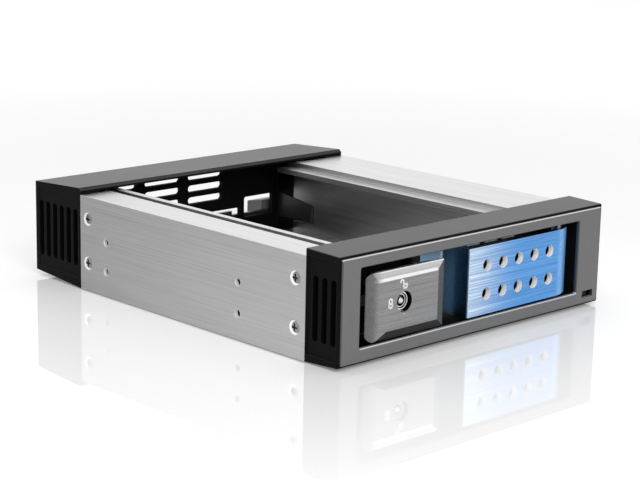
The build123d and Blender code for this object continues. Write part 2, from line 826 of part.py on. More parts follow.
def door_carrier():
    # black back of the door that carries the latch lever between two ears
    body = block(
        carrier_left_x, lap_left_x - slide_gap, recess_setback, door_back, carrier_low_z, carrier_high_z)
    body += block(
        lap_left_x - over, recess_left_x - slide_gap, recess_setback, door_back - lap_thick - slide_gap / 2,
        carrier_low_z, carrier_high_z)
    for z0, z1 in ((ear_low_z, ear_low_z + ear_thick), (ear_high_z - ear_thick, ear_high_z)):
        body += block(pivot_x - ear_r, pivot_x + ear_r, pivot_setback, recess_setback + 0.5, z0, z1)
        body += rod_z(ear_r, pivot_x, pivot_setback, z0, z1)
    for x, z in door_screw_spots():
        body += rod_y(door_boss_r, x, z, recess_setback - door_boss_high, recess_setback + 0.4)
        body -= door_screw(x, z, fit_gap)
    # notch that the bolt swings into
    body -= block(
        carrier_left_x - over, pivot_x - 0.6, recess_setback - over, door_back + over,
        lock_z - bolt_half_height - 1.0, lock_z + bolt_half_height + 1.0)
    body -= rod_z(pivot_pin_r, pivot_x, pivot_setback, carrier_low_z - over, carrier_high_z + over)
    return body


def door_backing():
    # plate on two posts, with slots along its top
    back = backing_setback + backing_thick
    plate = block(
        handle_left_x + handle_wall, backing_right_x, backing_setback, back, door_low_z, door_high_z)
    for i in range(backing_slot_count):
        x = backing_slot_first_x + i * backing_slot_pitch
        plate -= block(
            x, x + backing_slot_width, backing_setback - over, back + over,
            backing_slot_high_z - backing_slot_height, backing_slot_high_z)
    for columns in (0.5, air_hole_count - 1.5):
        x = air_hole_first_x + columns * air_hole_pitch_x
        z = air_hole_low_z + air_hole_pitch_z / 2
        plate += rod_y(backing_post_r, x, z, handle_thick, backing_setback + slide_gap)
    return plate


def drive_bumpers():
    heights = (door_low_z + bumper_inset, door_high_z - bumper_inset)
    return Compound([rod_y(bumper_r, bumper_x, z, door_back, door_back + bumper_thick) for z in heights])


def lever_bevels():
    # room inside the bevels, the lower one running out towards the nose
    far_left_x = lever_left_x - over
    inner_low_z = lever_low_z + lever_bevel_z
    inner_high_z = lever_high_z - lever_bevel_z
    inner_right_x = lever_right_x - lever_bevel_x
    front = make_face(Polyline(
        (far_left_x, lever_low_z), (lever_bevel_start_x, lever_low_z), (lever_bevel_full_x, inner_low_z),
        (inner_right_x, inner_low_z), (inner_right_x, inner_high_z), (far_left_x, inner_high_z), close=True))
    deep = make_face(Polyline(
        (far_left_x, lever_low_z), (lever_bevel_start_x, lever_low_z), (lever_bevel_full_x, lever_low_z),
        (lever_right_x, lever_low_z), (lever_right_x, lever_high_z), (far_left_x, lever_high_z), close=True))
    front = Plane.XZ.offset(-front_y) * front
    deep = Plane.XZ.offset(-at(lever_bevel_deep)) * deep
    return loft([front, deep], ruled=True) + extrude(deep, amount=-lever_back_setback)


def nose_point(radius, angle):
    # a point on an arc of the lever's nose, in X and setback
    a = math.radians(angle)
    return (lever_nose_x - radius * math.sin(a), lever_nose_r - radius * math.cos(a))


def latch_lever():
    inner_r = lever_nose_r - lever_skin
    angle = lever_nose_angle
    nose = make_face([
        ThreePointArc((lever_nose_x, 0), nose_point(lever_nose_r, angle / 2), nose_point(lever_nose_r, angle)),
        Line(nose_point(lever_nose_r, angle), nose_point(inner_r, angle)),
        ThreePointArc(nose_point(inner_r, angle), nose_point(inner_r, angle / 2), (lever_nose_x, lever_skin)),
        Line((lever_nose_x, lever_skin), (lever_nose_x, 0))])
    plan = Plane.XY.offset(lever_low_z) * Pos(0, front_y) * nose
    height = lever_high_z - lever_low_z
    lever = extrude(plan, amount=height)
    lever += block(lever_nose_x, lever_right_x, 0, lever_rim_thick, lever_low_z, lever_high_z)
    lever += block(
        lever_hollow_x, lever_right_x - lever_rim, 0, lever_back_setback, pin_low_z, pin_high_z)
    for z0, z1 in ((pin_low_z, pin_low_z + lug_thick), (pin_high_z - lug_thick, pin_high_z)):
        lever += block(pivot_x - lug_r, lever_hollow_x + over, lever_skin, pivot_setback, z0, z1)
        lever += block(pivot_x, lever_hollow_x + over, pivot_setback - over, pivot_setback + lug_r, z0, z1)
        lever += rod_z(lug_r, pivot_x, pivot_setback, z0, z1)
    lever &= lever_bevels()
    # rounded corners
    outline = Pos((lever_left_x + lever_right_x) / 2, (lever_low_z + lever_high_z) / 2) * Rectangle(
        lever_right_x - lever_left_x, height)
    outline = fillet(outline.vertices().sort_by(Axis.X)[:2], lever_corner_r)
    outline = fillet(outline.vertices().sort_by(Axis.X)[-2:], lever_end_r)
    lever &= extrude(Plane.XZ.offset(-at(-over)) * outline, amount=-(lever_back_setback + 2 * over))
    # guide of the bolt
    guide_half = bolt_half_height + guide_wall
    lever += block(
        guide_left_x, guide_right_x, lever_back_setback - 0.5, guide_back, lock_z - guide_half, lock_z + guide_half)
    lever -= block(
        guide_left_x - over, guide_right_x + over, bolt_setback - bolt_guide_gap, bolt_back + bolt_guide_gap,
        lock_z - bolt_half_height - bolt_guide_gap, lock_z + bolt_half_height + bolt_guide_gap)
    # pocket in the back
    lever -= block(
        lock_x + lock_bore_r + 2.7, lever_right_x - 2 * lever_rim, lever_pocket_setback, lever_back_setback + over,
        pin_low_z + lever_rim, pin_high_z - lever_rim)
    lever -= rod_z(pivot_pin_r + running_gap, pivot_x, pivot_setback, pin_low_z - over, pin_high_z + over)
    # bore of the lock with its index notch
    lever -= rod_y(lock_bore_r, lock_x, lock_z, -over, lever_back_setback + over)
    lever -= block(
        lock_x - notch_width / 2, lock_x + notch_width / 2, -over, lock_face_setback,
        lock_z - lock_bore_r - notch_deep, lock_z)
    return lever


def lever_pin():
    return rod_z(pivot_pin_r, pivot_x, pivot_setback, pin_low_z, pin_high_z)


def lever_spring():
    low_z = ear_high_z - ear_thick - spring_height - 2 * ear_gap
    path = Pos(pivot_x, at(pivot_setback), low_z) * Helix(
        pitch=spring_pitch, height=spring_height, radius=spring_coil_r)
    ring = Plane(path @ 0, z_dir=path % 0) * Circle(spring_wire_r)
    return sweep(ring, path=path)


def lock_barrel():
    # outer case with an index notch at its face
    inner_r = plug_r + fit_gap
    back = lever_back_setback + barrel_tail
    outer = rod_y(lock_bore_r, lock_x, lock_z, lock_face_setback, back)
    ring = outer - rod_y(inner_r, lock_x, lock_z, lock_face_setback - over, back + over)
    notch = block(
        lock_x - notch_width / 2, lock_x + notch_width / 2, lock_face_setback - over,
        lock_face_setback + notch_deep, lock_z - lock_bore_r - over, lock_z)
    return ring - notch


def lock_nut():
    plane = Plane.XZ.offset(-at(lever_back_setback))
    hexagon = plane * Pos(lock_x, lock_z) * RegularPolygon(nut_across / 2, 6, major_radius=False, rotation=30)
    nut = extrude(hexagon, amount=-nut_thick)
    return nut - rod_y(lock_bore_r, lock_x, lock_z, lever_back_setback - over, lever_back_setback + nut_thick + over)


def lock_plug():
    # turning core with a ring groove for a round key
    face = lock_face_setback + plug_inset
    groove_r = plug_r - key_groove_wall
    groove_end = face + key_groove_deep
    core = rod_y(plug_r, lock_x, lock_z, face, lever_back_setback + barrel_tail)
    groove = rod_y(groove_r, lock_x, lock_z, face - over, groove_end)
    groove -= rod_y(key_post_r, lock_x, lock_z, face - over, groove_end)
    key_way = block(
        lock_x - notch_width / 2, lock_x + notch_width / 2, face - over, groove_end,
        lock_z + key_post_r, lock_z + plug_r + over)
    tail = rod_y(tail_r, lock_x, lock_z, lever_back_setback + over, bolt_setback - slide_gap)
    return core - groove - key_way + tail


def lock_cam():
    # disc on the core's tail with an off-centre pin in the bolt's slot
    disc = rod_y(
        cam_radius + cam_pin_r + 0.2, lock_x, lock_z,
        lever_back_setback + barrel_tail + 0.15, bolt_setback - slide_gap)
    pin = rod_y(
        cam_pin_r, lock_x + cam_offset, lock_z + cam_offset,
        bolt_setback - 2 * slide_gap, bolt_back + 2 * slide_gap)
    return disc + pin - rod_y(tail_r, lock_x, lock_z, lever_back_setback, bolt_back)


def lock_bolt():
    plate_left_x = guide_right_x + bolt_throw + bolt_end_gap
    bar = block(
        bolt_end_x, plate_left_x + slide_gap, bolt_setback, bolt_back,
        lock_z - bolt_half_height, lock_z + bolt_half_height)
    bar = chamfer(bar.edges().filter_by(Axis.Z).sort_by(Axis.X)[:2], 0.4)
    half_slot = cam_pin_r + cam_slot_gap
    plate = block(
        plate_left_x, lock_x + cam_offset + half_slot + 2.9, bolt_setback, bolt_back,
        lock_z - bolt_half_height - guide_wall, lock_z + cam_radius + half_slot + 1.2)
    slot = block(
        lock_x + cam_offset - half_slot, lock_x + cam_offset + half_slot, bolt_setback - over, bolt_back + over,
        lock_z + cam_offset - half_slot - slide_gap, lock_z + cam_radius + half_slot + slide_gap)
    return bar + plate - slot


def backplane_board():
    outline = [
        (board_left_x, board_low_z), (board_right_x, board_low_z), (board_right_x, board_step_z),
        (board_step_x, board_step_z), (board_step_x, board_high_z), (board_left_x, board_high_z)]
    board = along_y(outline, board_setback, board_back)
    for x, z in board_screw_spots:
        board -= rod_y(board_hole_r, x, z, board_setback - over, board_back + over)
    return board


def board_screws():
    screws = []
    head_end = board_back + board_screw_head_high
    for x, z in board_screw_spots:
        shank = rod_y(board_screw_r, x, z, board_setback - 2.2, board_back + 0.5)
        head = rod_y(board_screw_head_r, x, z, board_back, head_end)
        cross = Pos(x, at(head_end), z) * Rot(-90, 0, 0) * cross_recess(board_screw_head_r)
        screws.append(shank + head - cross)
    return Compound(screws)


def connector_slot(x, length):
    # slot of one row of contacts, with its key at the left end
    front = rear_wall_setback - connector_reach
    slot = block(
        x, x + length, front - over, front + connector_slot_deep, connector_slot_low_z, connector_slot_high_z)
    return slot + block(
        x, x + connector_key, front - over, front + connector_slot_deep, connector_slot_low_z, connector_key_z)


def drive_connector():
    # receptacle that the drive's data and power blades enter
    half = connector_length / 2
    body = block(
        connector_x - half, connector_x + half, rear_wall_setback - connector_reach, board_setback,
        connector_low_z, connector_high_z)
    body -= connector_slot(connector_data_x, connector_data_length)
    return body - connector_slot(connector_power_x, connector_power_length)


def host_power_plug():
    # four pins in a shroud that is open to the back
    end = board_back + power_plug_deep
    end_high_z = power_plug_high_z - power_plug_slope
    body = along_x(
        [(board_back, power_plug_low_z), (end, power_plug_low_z), (end, end_high_z),
         (board_back, power_plug_high_z)], power_plug_left_x, power_plug_right_x)
    low_z = power_plug_low_z + power_plug_wall
    high_z = end_high_z - power_plug_wall
    body -= block(
        power_plug_left_x + power_plug_wall, power_plug_right_x - power_plug_wall,
        board_back + plug_floor, end + over, low_z, high_z)
    for i in range(power_pin_count):
        x = power_plug_left_x + power_plug_wall + (i + 0.5) * power_pin_pitch
        body += rod_y(power_pin_r, x, (low_z + high_z) / 2, board_back + plug_floor - slide_gap, end - plug_floor)
    return body


def host_data_plug():
    # narrow tongue in a shroud for the host's cable
    left_x = data_plug_x - data_plug_length / 2
    right_x = data_plug_x + data_plug_length / 2
    end = board_back + data_plug_deep
    body = block(left_x, right_x, board_back, end, data_plug_low_z, data_plug_high_z)
    body -= block(
        left_x + data_plug_wall, right_x - data_plug_wall, board_back + plug_floor, end + over,
        data_plug_low_z + data_plug_wall, data_plug_high_z - data_plug_wall)
    tongue_z = (data_plug_low_z + data_plug_high_z) / 2
    return body + block(
        left_x + 2 * data_plug_wall, right_x - 2 * data_plug_wall, board_back + plug_floor - slide_gap, end - 0.8,
        tongue_z - 0.6, tongue_z + 0.6)


nodes = {
    "left_rail": left_rail,
    "right_rail": right_rail,
    "front_frame": front_frame,
    "bezel_plate": bezel_plate,
    "light_pipe": light_pipe,
    "indicator_board": indicator_board,
    "indicator_lamp": indicator_lamp,
    "rear_housing": rear_housing,
    "guide_arm": guide_arm,
    "corner_screws": corner_screws,
    "door_handle": door_handle,
    "door_backing": door_backing,
    "door_carrier": door_carrier,
    "door_screws": door_screws,
    "door_hinge_pin": door_hinge_pin,
    "drive_bumpers": drive_bumpers,
    "latch_lever": latch_lever,
    "lever_pin": lever_pin,
    "lever_spring": lever_spring,
    "lock_barrel": lock_barrel,
    "lock_nut": lock_nut,
    "lock_plug": lock_plug,
    "lock_cam": lock_cam,
    "lock_bolt": lock_bolt,
    "backplane_board": backplane_board,
    "board_screws": board_screws,
    "drive_connector": drive_connector,
    "host_power_plug": host_power_plug,
    "host_data_plug": host_data_plug,
}

for name, make in nodes.items():
    export_step(make(), f"parts/{name}.step")
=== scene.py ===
import bpy
import bmesh
import math
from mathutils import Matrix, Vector


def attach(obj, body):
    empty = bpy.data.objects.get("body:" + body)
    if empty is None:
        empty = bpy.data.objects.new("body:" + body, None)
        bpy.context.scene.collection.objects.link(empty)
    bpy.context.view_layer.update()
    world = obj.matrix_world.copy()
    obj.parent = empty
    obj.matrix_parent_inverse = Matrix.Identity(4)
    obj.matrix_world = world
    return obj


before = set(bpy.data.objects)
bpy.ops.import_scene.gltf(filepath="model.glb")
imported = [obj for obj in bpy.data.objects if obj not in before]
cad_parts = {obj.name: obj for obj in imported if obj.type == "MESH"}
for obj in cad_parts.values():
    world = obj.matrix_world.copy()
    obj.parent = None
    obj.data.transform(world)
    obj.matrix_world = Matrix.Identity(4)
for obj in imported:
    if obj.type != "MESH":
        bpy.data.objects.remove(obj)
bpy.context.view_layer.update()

print("stage: CAD frame loaded with", len(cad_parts), "nodes")
scene = bpy.context.scene
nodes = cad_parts


# the view and the light of the photograph
viewSettings = {
    "place": (-0.48647, -0.50884, 0.18362),
    "turn": (76.93675, -1.19452, -43.66611),   # degrees about X, Y and Z
    "lens": 99.815,
    "sensor": 36.0,
}

studioSettings = {
    "ambient": 0.36,          # world seen by matt surfaces
    "lamps": {                # place, width, height, watts and whether mirrors show it
        "topBox": ((0.1, 0.25, 1.3), 2.1, 2.1, 8.5, False),
        "leftBox": ((-1.5, 0.9, 0.35), 0.9, 0.6, 3.0, True),
        "frontBox": ((-0.75, -1.2, 0.95), 1.3, 0.9, 17.0, False),
    },
    "floorColor": (0.93, 0.93, 0.93, 1.0),
    "footprint": (0.073, 0.0901),
    "mirror": 0.30,
    "mirrorRough": 0.02,
    "mirrorReach": 0.17,
    "farLift": 0.30,
    "farReach": (0.12, 0.9),
    "lift": 0.14,             # brings the lit floor up to the photograph's white
}


def clearSelection():
    for item in list(bpy.context.selected_objects):
        item.select_set(False)
    bpy.context.view_layer.objects.active = None


clearSelection()


class Wire:
    def __init__(self, finish, socket):
        self.finish = finish
        self.socket = socket

    def __add__(self, other):
        return self.finish.math("ADD", self, other)

    __radd__ = __add__

    def __sub__(self, other):
        return self.finish.math("SUBTRACT", self, other)

    def __rsub__(self, other):
        return self.finish.math("SUBTRACT", other, self)

    def __mul__(self, other):
        return self.finish.math("MULTIPLY", self, other)

    __rmul__ = __mul__

    def __pow__(self, other):
        return self.finish.math("POWER", self, other)

    def clamped(self):
        return self.atLeast(0.0).atMost(1.0)

    def __abs__(self):
        return self.finish.math("ABSOLUTE", self, 0.0)

    def atLeast(self, other):
        return self.finish.math("MAXIMUM", self, other)

    def atMost(self, other):
        return self.finish.math("MINIMUM", self, other)

    def between(self, low, high):
        # rises smoothly from 0 at low to 1 at high
        made = self.finish.node("ShaderNodeMapRange", {"interpolation_type": "SMOOTHSTEP"}, {
            "Value": self, "From Min": low, "From Max": high})
        return Wire(self.finish, made.outputs["Result"])


class Finish:
    def __init__(self, name):
        self.material = bpy.data.materials.new(name)
        self.material.use_nodes = True
        self.tree = self.material.node_tree
        self.tree.nodes.clear()
        self.output = self.tree.nodes.new("ShaderNodeOutputMaterial")
        self.shader = self.tree.nodes.new("ShaderNodeBsdfPrincipled")
        self.tree.links.new(self.shader.outputs["BSDF"], self.output.inputs["Surface"])

    def node(self, kind, settings=None, values=None):
        made = self.tree.nodes.new(kind)
        for key, value in (settings or {}).items():
            setattr(made, key, value)
        for key, value in (values or {}).items():
            self.feed(made.inputs[key], value)
        return made

    def feed(self, socket, value):
        if isinstance(value, Wire):
            self.tree.links.new(value.socket, socket)
        elif hasattr(value, "is_output"):
            self.tree.links.new(value, socket)
        else:
            socket.default_value = value

    def math(self, operation, first, second):
        made = self.node("ShaderNodeMath", {"operation": operation}, {0: first, 1: second})
        return Wire(self, made.outputs[0])

    def place(self, scale=(1, 1, 1), turn=(0, 0, 0)):
        coords = self.node("ShaderNodeTexCoord")
        mapping = self.node("ShaderNodeMapping", {}, {
            "Vector": coords.outputs["Object"], "Scale": scale, "Rotation": turn})
        return mapping.outputs["Vector"]

    def axes(self, kind="Object"):
        # the place, or the way a surface faces, along the node's own X, Y and Z
        coords = self.node("ShaderNodeTexCoord")
        split = self.node("ShaderNodeSeparateXYZ", {}, {"Vector": coords.outputs[kind]})
        return [Wire(self, output) for output in split.outputs]

    def noise(self, vector, scale, detail=2.0, rough=0.5):
        made = self.node("ShaderNodeTexNoise", {}, {
            "Vector": vector, "Scale": scale, "Detail": detail, "Roughness": rough})
        return Wire(self, made.outputs["Fac"])

    def mix(self, factor, first, second):
        made = self.node("ShaderNodeMix", {"data_type": "RGBA"}, {0: factor, 6: first, 7: second})
        return made.outputs[2]

    def shaded(self, factor, tone, dark, light):
        # goes from a darker to a lighter copy of a tone
        ends = [self.node("ShaderNodeMix", {"data_type": "RGBA", "blend_type": "MULTIPLY"}, {
            0: 1.0, 6: tone, 7: times}).outputs[2] for times in (dark, light)]
        return self.mix(factor, ends[0], ends[1])

    def edges(self, radius):
        bevel = self.node("ShaderNodeBevel", {"samples": 4}, {"Radius": radius})
        plain = self.node("ShaderNodeNewGeometry")
        dot = self.node("ShaderNodeVectorMath", {"operation": "DOT_PRODUCT"}, {
            0: bevel.outputs[0], 1: plain.outputs["Normal"]})
        # a mask of the rounded edges, which some finishes paint lighter
        paleEdge = ((1.0 - Wire(self, dot.outputs["Value"])) * 5.0).clamped()
        return bevel.outputs[0], paleEdge

    def bump(self, height, strength, distance, normal=None):
        values = {"Height": height, "Strength": strength, "Distance": distance}
        if normal is not None:
            values["Normal"] = normal
        made = self.node("ShaderNodeBump", {}, values)
        return made.outputs[0]

    def paint(self, **values):
        names = {"color": "Base Color", "rough": "Roughness", "metal": "Metallic", "normal": "Normal",
                 "coat": "Coat Weight", "coatRough": "Coat Roughness", "gloss": "Specular IOR Level"}
        for key, value in values.items():
            self.feed(self.shader.inputs[names[key]], value)
        return self.material


def apart(across, up):
    # the distance from a point that two wires are measured from
    return (across * across + up * up) ** 0.5


def rgb(red, green, blue):
    return (red, green, blue, 1.0)


def tint(color, times, plus=0.0):
    return tuple(min(1.0, part * times + plus) for part in color[:3]) + (1.0,)


def brushed(finish, along, fine):
    # hair lines and broader bands drawn along one axis
    hairScale = [fine, fine, fine]
    hairScale["XYZ".index(along)] = fine / 150.0
    bandScale = [fine / 5, fine / 5, fine / 5]
    bandScale["XYZ".index(along)] = fine / 350.0
    hair = finish.noise(finish.place(scale=tuple(hairScale)), 1.0, 3.0, 0.7)
    band = finish.noise(finish.place(scale=tuple(bandScale)), 1.0, 2.0, 0.6)
    return hair, band


railSettings = {
    "side": rgb(0.410, 0.410, 0.413),
    "rearShade": 0.20,        # painted shade: how much darker the sides are painted towards the back end
    "top": rgb(0.76, 0.76, 0.765),
    "inside": rgb(0.33, 0.33, 0.332),
    "bore": rgb(0.92, 0.92, 0.92),
    "contrast": 0.62,
    "rough": 0.33,
    "fine": 2600.0,
    "holeSetbacks": (-0.0371, 0.04215),   # Y of the side holes
    "holeHeights": (0.0100, 0.0219),
    "holeRadius": 0.0015,
    "holeRim": (0.00005, 0.00028),        # how far the painted highlight of the broken edge reaches past the hole
    "shadeY": (-0.07, 0.09),
    "shade": rgb(0.08, 0.08, 0.08),
    "grainDark": rgb(0.72, 0.72, 0.72),
    "grainLight": rgb(1.28, 1.28, 1.28),
    "edgeTint": rgb(0.93, 0.93, 0.93),
    "facing": (0.4, 0.8),
}


def railFinish(name, outerSide):
    s = railSettings
    finish = Finish(name)
    y, z = finish.axes()[1:]
    nx, _, nz = finish.axes("Normal")
    hair, band = brushed(finish, "Y", s["fine"])
    cloud = finish.noise(finish.place(), 22.0, 2.0, 0.5)
    normal, paleEdge = finish.edges(0.00025)
    mark = (hair * 0.85 + band * 0.15 - 0.5) * s["contrast"] * 2 + 0.5
    # painted light and shade: top faces painted lighter, inner faces darker, and the sides darker
    # towards the back end
    upward = nz.between(*s["facing"])
    inward = (nx * -outerSide).between(*s["facing"])
    tone = finish.mix(inward, s["side"], s["inside"])
    tone = finish.mix(y.between(*s["shadeY"]) * s["rearShade"], tone, s["shade"])
    tone = finish.mix(upward, tone, s["top"])
    color = finish.shaded(mark.clamped(), tone, s["grainDark"], s["grainLight"])
    color = finish.mix(paleEdge * 0.55, color, s["edgeTint"])
    # painted highlight: the walls and broken edges of the drilled holes are painted near white, as lit
    ring = None
    for holeY in s["holeSetbacks"]:
        for holeZ in s["holeHeights"]:
            away = apart(y - holeY, z - holeZ)
            near = 1.0 - away.between(*[s["holeRadius"] + rim for rim in s["holeRim"]])
            ring = near if ring is None else ring.atLeast(near)
    bore = ring * (1.0 - (nx * outerSide).between(*s["facing"]) * 0.55)
    bore = bore * (1.0 - inward)
    color = finish.mix(bore, color, s["bore"])
    roughness = mark * 0.16 + cloud * 0.05 + (s["rough"] - 0.1)
    bumped = finish.bump(hair, 0.12, 0.00006, normal)
    return finish.paint(color=color, rough=roughness, metal=1.0 - bore * 0.85, normal=bumped)


leverSettings = {
    "face": rgb(0.300, 0.300, 0.303),
    "topBevel": rgb(0.54, 0.54, 0.543),
    "ridge": rgb(1.0, 1.0, 1.0),
    "sideBevel": rgb(0.105, 0.105, 0.107),
    "lowBevel": rgb(0.026, 0.026, 0.027),
    "nose": rgb(0.165, 0.165, 0.168),
    "bore": rgb(0.006, 0.006, 0.006),
    "ridgeHeight": 0.02940,
    "rimHeight": 0.03215,
    "lockPlace": (-0.0405, 0.0201),
    "lockRadius": 0.0038,
    "boreEdge": (0.00002, 0.00012),
    "noseTilt": (0.05, 0.6),
    "sideTilt": (0.08, 0.2),
    "bevelTilt": (0.08, 0.25),
    "bevelX": (-0.0570, -0.0500),       # where the top bevel's painted light fades in from the nose
    "ridgeX": (-0.0560, -0.0500),
    "ridgeEndX": (-0.0240, -0.0226),
    "ridgeHalf": (0.0004, 0.0007),
    "dashHalf": (0.0004, 0.00055),
    "dashLow": (-0.00462, -0.00452),    # under the lock's middle
    "dashHigh": (-0.00378, -0.00368),
    "grainDark": rgb(0.52, 0.52, 0.52),
    "grainLight": rgb(1.50, 1.50, 1.50),
    "edgeTint": rgb(0.80, 0.80, 0.80),
    "fine": 2400.0,
    "rough": 0.34,
}


def leverFinish():
    s = leverSettings
    finish = Finish("leverMetal")
    x, _, z = finish.axes()
    nx, _, nz = finish.axes("Normal")
    hair, band = brushed(finish, "X", s["fine"])
    speck = finish.noise(finish.place(), 3000.0, 2.0, 0.7)
    normal, paleEdge = finish.edges(0.0002)
    # painted light and shade: the top bevel painted light, the right and bottom bevels and the rounded
    # nose painted dark
    tone = finish.mix((nx * -1.0).between(*s["noseTilt"]), s["face"], s["nose"])
    tone = finish.mix(nx.between(*s["sideTilt"]), tone, s["sideBevel"])
    tone = finish.mix((nz * -1.0).between(*s["bevelTilt"]), tone, s["lowBevel"])
    tone = finish.mix(nz.between(*s["bevelTilt"]) * x.between(*s["bevelX"]), tone, s["topBevel"])
    # painted highlights: bright lines painted on the bevel's inner ridge and along the top edge
    ridge = 1.0 - abs(z - s["ridgeHeight"]).between(*s["ridgeHalf"])
    ridge = ridge * (1.0 - x.between(*s["ridgeEndX"]))
    ridge = (ridge + z.between(s["rimHeight"] - 0.0003, s["rimHeight"]) * 0.6).clamped()
    tone = finish.mix(ridge * x.between(*s["ridgeX"]), tone, s["ridge"])
    grain = hair * 0.45 + band * 0.15 + speck * 0.4
    grain = ((grain - 0.5) * 2.2 + 0.5).clamped()
    color = finish.shaded(grain, tone, s["grainDark"], s["grainLight"])
    color = finish.mix(paleEdge * 0.35, color, s["edgeTint"])
    # painted shade: the lock's bore is painted near black
    across = x - s["lockPlace"][0]
    up = z - s["lockPlace"][1]
    inBore = 1.0 - apart(across, up).between(*[s["lockRadius"] + edge for edge in s["boreEdge"]])
    color = finish.mix(inBore, color, s["bore"])
    # the index mark under the bore
    dash = 1.0 - abs(across).between(*s["dashHalf"])
    dash = dash * (1.0 - up.between(*s["dashHigh"])) * up.between(*s["dashLow"])
    color = finish.mix(dash, color, s["ridge"])
    roughness = grain * 0.16 + (s["rough"] - 0.08) + inBore * 0.3
    bumped = finish.bump(hair * 0.6 + speck * 0.4, 0.16, 0.00006, normal)
    return finish.paint(color=color, rough=roughness, metal=1.0, normal=bumped)


blueSettings = {
    "face": rgb(0.120, 0.36, 0.80),
    "pale": rgb(0.72, 0.86, 1.0),
    "floor": rgb(0.42, 0.70, 1.0),
    "wall": rgb(0.055, 0.115, 0.190),
    "curl": rgb(0.18, 0.46, 0.90),
    "turned": rgb(0.16, 0.50, 0.92),
    "bore": rgb(0.97, 0.98, 1.0),
    "paleFrom": -0.0100,
    "paleTo": 0.0290,
    "curlStart": (0.03, 0.16),
    "curlEnd": (0.16, 0.55),
    "turnedTilt": (0.5, 0.8),
    "wallTilt": (0.45, 0.8),
    "wallEndX": (-0.0040, -0.0030),
    "sunkY": (-0.0845, -0.0815),
    "boreY": (-0.0876, -0.0872),        # the air holes lie within these places
    "boreX": ((0.0005, 0.0012), (0.0430, 0.0440)),
    "boreZ": ((0.0122, 0.0126), (0.0294, 0.0298)),
    "grainDark": rgb(0.68, 0.74, 0.82),
    "grainLight": rgb(1.50, 1.34, 1.18),
    "fine": 3000.0,
    "rough": 0.32,
}


def blueFinish():
    s = blueSettings
    finish = Finish("blueMetal")
    x, y, z = finish.axes()
    nx, ny, _ = finish.axes("Normal")
    hair, band = brushed(finish, "X", s["fine"])
    normal, paleEdge = finish.edges(0.0002)
    mark = ((hair * 0.85 + band * 0.15 - 0.5) * 2.8 + 0.5).clamped()
    # painted highlight: the face is painted pale towards the finger edge as the lamp's glare, streaked
    # along the brushing
    paintedGlare = (1.0 - x.between(s["paleFrom"], s["paleTo"])) ** 1.6
    paintedGlare = (paintedGlare * (mark * 0.9 + 0.45) * 0.80).clamped() * (ny * -1.0).between(0.5, 0.9)
    tone = finish.mix(paintedGlare, s["face"], s["pale"])
    # painted light and shade: the curl and its turned faces painted lighter blue, the sunk floor
    # painted light, the recess's left wall painted dark as its shade
    tone = finish.mix(nx.between(*s["curlStart"]) * (1.0 - nx.between(*s["curlEnd"])), tone, s["curl"])
    tone = finish.mix(nx.between(*s["turnedTilt"]), tone, s["turned"])
    sunk = y.between(*s["sunkY"])
    tone = finish.mix(sunk * (ny * -1.0).between(0.6, 0.9), tone, s["floor"])
    wall = (nx * -1.0).between(*s["wallTilt"]) * (1.0 - x.between(*s["wallEndX"]))
    tone = finish.mix(wall, tone, s["wall"])
    color = finish.shaded(mark, tone, s["grainDark"], s["grainLight"])
    # painted highlight: edges painted towards the pale glare colour
    color = finish.mix(paleEdge * 0.5, color, s["pale"])
    # painted highlight: the walls of the air holes are painted near white, as lit
    bore = (1.0 - (ny * -1.0).between(0.3, 0.7)) * (1.0 - y.between(*s["boreY"]))
    for along, (start, end) in ((x, s["boreX"]), (z, s["boreZ"])):
        bore = bore * along.between(*start) * (1.0 - along.between(*end))
    color = finish.mix(bore, color, s["bore"])
    metalness = 1.0 - bore.atLeast(nx.between(0.05, 0.35) * 0.8).atLeast(sunk * 0.8) * 0.9
    roughness = mark * 0.14 + (s["rough"] - 0.07) + bore * 0.15
    bumped = finish.bump(hair, 0.13, 0.00006, normal)
    return finish.paint(color=color, rough=roughness, metal=metalness, normal=bumped)


mouldingSettings = {
    "base": rgb(0.0030, 0.0030, 0.0032),
    "top": rgb(0.026, 0.026, 0.0265),
    "topHeight": 0.0385,      # the shine is on what lies above this
    "sheenTop": 0.86,
    "sheenSide": 0.03,
    "sheenRough": 0.40,
    "grain": 2500.0,
    "rough": 0.50,
}


def mouldingFinish():
    # moulded black whose upper faces carry the shine of the light above
    s = mouldingSettings
    finish = Finish("mouldingBlack")
    z = finish.axes()[2]
    nz = finish.axes("Normal")[2]
    skin = finish.noise(finish.place(), s["grain"], 3.0, 0.6)
    cloud = finish.noise(finish.place(), 26.0, 2.0, 0.5)
    normal, rim = finish.edges(0.0003)
    upward = nz.between(0.5, 0.9) * z.between(s["topHeight"] - 0.002, s["topHeight"])
    color = finish.mix(skin, s["base"], tint(s["base"], 1.9))
    shine = finish.mix(skin * 0.6 + cloud * 0.4, tint(s["top"], 0.7), tint(s["top"], 1.4))
    color = finish.mix(upward, color, shine)
    color = finish.mix(rim * 0.3, color, rgb(0.09, 0.09, 0.09))
    sheen = upward * (s["sheenTop"] - s["sheenSide"]) * (cloud * 0.3 + 0.85) + s["sheenSide"]
    roughness = skin * 0.12 + cloud * 0.08 + (s["rough"] - 0.1)
    bumped = finish.bump(skin, 0.25, 0.00008, normal)
    return finish.paint(color=color, rough=roughness, normal=bumped, gloss=0.03,
                        coat=sheen, coatRough=s["sheenRough"])


